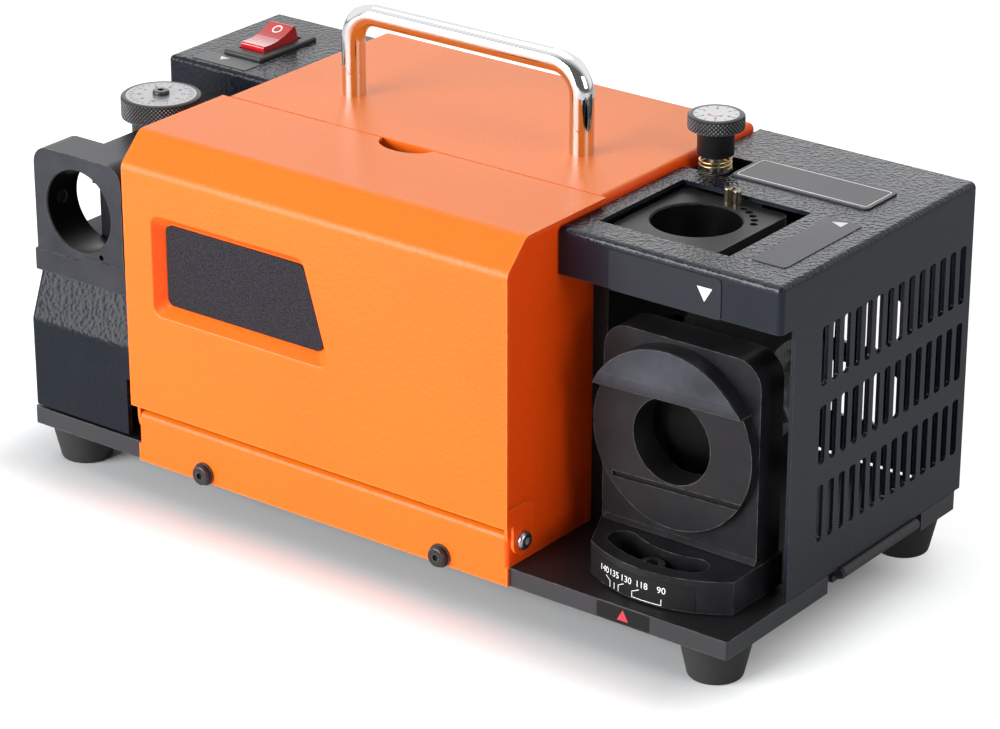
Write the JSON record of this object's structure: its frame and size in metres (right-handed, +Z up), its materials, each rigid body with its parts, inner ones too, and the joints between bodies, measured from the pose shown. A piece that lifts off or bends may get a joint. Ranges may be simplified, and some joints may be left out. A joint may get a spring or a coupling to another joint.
{
  "type": "drill bit sharpener",
  "caption": "Bench drill bit sharpener: motor hood with folding front door and carry handle, web-setting port, swivelling point port, and splitting port under a hinged vented guard.",
  "frame": {"origin": "middle of the footprint, on the plane under the rubber feet", "axes": "+X along the base from the setting station to the grinding head, +Y from the folding door to the back, +Z up"},
  "size_m": [0.3227, 0.1567, 0.1815],
  "materials": {
    "base_black": "satin black paint, worn at corners",
    "rubber": "moulded matt rubber",
    "orange_paint": "fine textured powder coat",
    "black_screw": "black oxide steel",
    "bright_steel": "bright machined steel",
    "chrome": "polished chrome plate",
    "hammered_black": "hammered black paint",
    "guard_black": "fine leathery black paint",
    "black_steel": "satin black oxide",
    "switch_black": "moulded plastic",
    "switch_red": "glossy tinted plastic",
    "plate_grey": "bare printed plate",
    "scale_silver": "satin anodised scale",
    "scale_white": "white enamelled scale",
    "brass": "yellow passivated",
    "abrasive": "bonded grit",
    "motor_iron": "painted iron",
    "motor_alloy": "cast alloy",
    "fan_black": "moulded plastic"
  },
  "bodies": {
    "machine": {"base_plate": "base_black", "setting_ledge": "base_black", "hinge_base_leaf": "base_black", "hinge_pin": "base_black", "rubber_feet": "rubber", "hood_shell": "orange_paint", "hood_screws": "black_screw", "hood_washers": "black_screw", "clamp_screw": "black_screw", "foot_screws": "black_screw", "housing_screws": "black_screw", "setting_screws": "black_screw", "setting_grub": "black_screw", "door_pivot_screws": "bright_steel", "handle_screws": "bright_steel", "partition_screws": "bright_steel", "bracket_screws": "bright_steel", "guide_pins": "bright_steel", "cradle_screws": "bright_steel", "tie_bolts": "bright_steel", "motor_bearings": "bright_steel", "swivel_pin": "bright_steel", "motor_partition": "bright_steel", "carry_handle": "chrome", "side_housing": "hammered_black", "switch_box": "hammered_black", "setting_block": "black_steel", "wheel_bracket": "black_steel", "switch_frame": "switch_black", "cord_gland": "switch_black", "motor_housing": "motor_iron", "motor_cradle": "motor_iron", "end_bells": "motor_alloy", "run_capacitor": "motor_alloy"},
    "door": {"door_panel": "orange_paint", "door_nameplate": "plate_grey"},
    "guard": {"wheel_guard": "guard_black", "hinge_guard_leaf": "base_black"},
    "rocker": {"switch_rocker": "switch_red"},
    "dial": {"web_dial": "black_steel", "dial_scale_disc": "scale_silver", "dial_screw": "black_screw", "dial_shaft_pin": "bright_steel"},
    "stop": {"web_stop": "black_steel"},
    "carriage": {"splitting_block": "black_steel", "index_pins": "brass", "knob_spring": "brass"},
    "knob": {"splitting_knob": "black_steel", "knob_scale_disc": "scale_white", "knob_stud": "bright_steel"},
    "swivel": {"swivel_bracket": "black_steel", "guide_bush": "black_steel", "bush_screws": "black_screw"},
    "spindle": {"spindle_shaft": "bright_steel", "grinding_wheel": "abrasive", "wheel_core": "bright_steel", "wheel_collar": "bright_steel", "wheel_nut": "bright_steel", "motor_rotor": "motor_iron", "cooling_fan": "fan_black"}
  },
  "joints": [
    {"name": "front_door", "type": "hinge", "parent": "machine", "child": "door", "pos_m": [-0.0185, -0.068, 0.0305], "axis": [1, 0, 0], "range_deg": [0, 70]},
    {"name": "guard_hinge", "type": "hinge", "parent": "machine", "child": "guard", "pos_m": [0.16, 0.021, 0.0193], "axis": [0, 1, 0], "range_deg": [0, 95]},
    {"name": "power_rocker", "type": "hinge", "parent": "machine", "child": "rocker", "pos_m": [-0.1348, 0.0395, 0.1399], "axis": [1, 0, 0], "range_deg": [-24, 0]},
    {"name": "web_dial_turn", "type": "hinge", "parent": "machine", "child": "dial", "pos_m": [-0.1376, -0.0209, 0.1335], "axis": [0, 0, 1], "range_deg": [-150, 150]},
    {"name": "web_stop_slide", "type": "slide", "parent": "machine", "child": "stop", "axis": [1, 0, 0], "range_m": [-0.002, 0.002]},
    {"name": "split_lift", "type": "slide", "parent": "machine", "child": "carriage", "axis": [0, 0, 1], "range_m": [-0.0005, 0.0005]},
    {"name": "split_knob_turn", "type": "hinge", "parent": "carriage", "child": "knob", "pos_m": [0.0765, 0.0365, 0.1525], "axis": [0, 0, 1], "range_deg": [-180, 180]},
    {"name": "point_angle_swivel", "type": "hinge", "parent": "machine", "child": "swivel", "pos_m": [0.12, -0.018, 0.0215], "axis": [0, 0, 1], "range_deg": [-14, 11]},
    {"name": "spindle_spin", "type": "hinge", "parent": "machine", "child": "spindle", "pos_m": [0.08, 0.01146, 0.075], "axis": [1, 0, 0], "continuous": true}
  ],
  "couplings": [
    {"joint": "web_stop_slide", "follows": "web_dial_turn", "m_per_rad": 0.00076},
    {"joint": "split_knob_turn", "follows": "split_lift", "rad_per_m": 6280}
  ]
}
